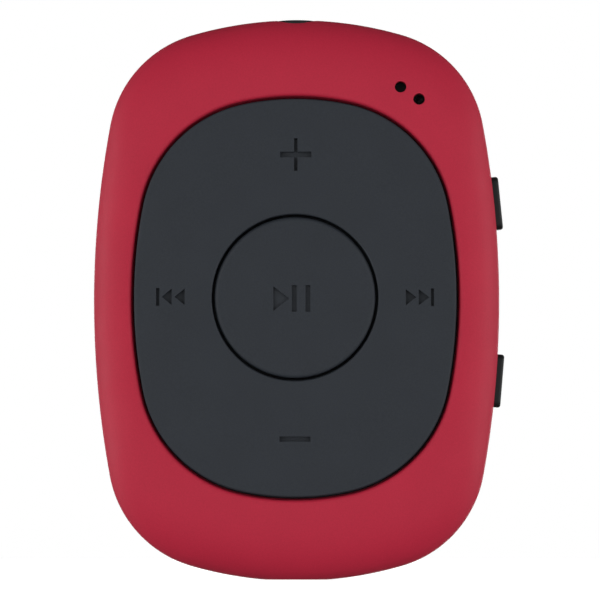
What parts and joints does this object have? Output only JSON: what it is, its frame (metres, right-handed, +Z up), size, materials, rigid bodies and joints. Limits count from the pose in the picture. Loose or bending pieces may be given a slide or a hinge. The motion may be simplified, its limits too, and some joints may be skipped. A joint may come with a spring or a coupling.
{
  "type": "digital audio player",
  "caption": "Thumb-sized screenless clip-on audio player: red pebble casing, dark oval rocker plate with round play button, side buttons, headphone socket and sprung clip.",
  "frame": {"origin": "middle of the small flat foot at the bottom end of the front shell, on the casing's middle plane", "axes": "+X to the right of the front, where the side buttons are; the front faces -Y and the clip is on the +Y side; +Z up, towards the headphone socket"},
  "size_m": [0.0366, 0.0154, 0.05],
  "materials": {
    "red_casing": "satin soft-touch moulded plastic",
    "dark_clip": "fine spark-eroded texture",
    "slate_key": "satin",
    "side_button": "satin",
    "black_connector": "moulded",
    "silicone": "matt",
    "grip_rubber": "matt",
    "board": "solder resist over glass laminate",
    "chip": "moulded epoxy",
    "steel": "nickel plated",
    "spring_steel": "drawn wire",
    "battery_foil": "laminated foil pouch",
    "foam": "open-cell foam tape",
    "red_insulation": "extruded",
    "black_insulation": "extruded",
    "clear_plastic": "clear moulded",
    "lamp": "ceramic lamp body with a clear top"
  },
  "bodies": {
    "casing": {"front_shell": "red_casing", "rear_shell": "red_casing", "case_screw_1": "steel", "case_screw_2": "steel", "case_screw_3": "steel", "case_screw_4": "steel", "keypad_mat": "silicone", "main_board": "board", "volume_up_switch": "steel", "volume_down_switch": "steel", "previous_switch": "steel", "next_switch": "steel", "play_switch": "steel", "upper_side_switch": "steel", "lower_side_switch": "steel", "audio_chip": "chip", "memory_chip": "chip", "battery": "battery_foil", "battery_foam": "foam", "battery_lead_positive": "red_insulation", "battery_lead_negative": "black_insulation", "headphone_jack": "black_connector", "usb_socket": "steel", "status_lamp": "lamp", "light_pipe": "clear_plastic", "microphone": "steel", "microphone_gasket": "silicone", "clip_pin": "steel", "clip_spring": "spring_steel"},
    "rocker_pad": {"rocker_pad": "silicone"},
    "rocker": {"rocker_plate": "slate_key"},
    "play_button": {"play_button": "slate_key"},
    "upper_side_button": {"upper_side_button": "side_button"},
    "lower_side_button": {"lower_side_button": "side_button"},
    "clip": {"clip_arm": "dark_clip", "clip_grip_pad": "grip_rubber"}
  },
  "joints": [
    {"name": "volume_tilt", "type": "hinge", "parent": "casing", "child": "rocker_pad", "pos_m": [0, -0.002, 0.02494], "axis": [-1, 0, 0], "range_deg": [-1, 1], "stiffness_Nm_per_rad": 1.2},
    {"name": "track_tilt", "type": "hinge", "parent": "rocker_pad", "child": "rocker", "pos_m": [0, -0.002, 0.02494], "axis": [0, 0, 1], "range_deg": [-1, 1], "stiffness_Nm_per_rad": 1.2},
    {"name": "play_press", "type": "slide", "parent": "casing", "child": "play_button", "axis": [0, 1, 0], "range_m": [0, 0.0003], "stiffness_N_per_m": 1500},
    {"name": "upper_side_press", "type": "slide", "parent": "casing", "child": "upper_side_button", "axis": [-0.9951, 0, -0.0986], "range_m": [0, 0.0003], "stiffness_N_per_m": 1500},
    {"name": "lower_side_press", "type": "slide", "parent": "casing", "child": "lower_side_button", "axis": [-0.9965, 0, 0.084], "range_m": [0, 0.0003], "stiffness_N_per_m": 1500},
    {"name": "clip_hinge", "type": "hinge", "parent": "casing", "child": "clip", "pos_m": [0, 0.0069, 0.0385], "axis": [1, 0, 0], "range_deg": [0, 18], "stiffness_Nm_per_rad": 0.15, "springref_deg": -40.11, "deforming": ["clip_spring"]}
  ]
}
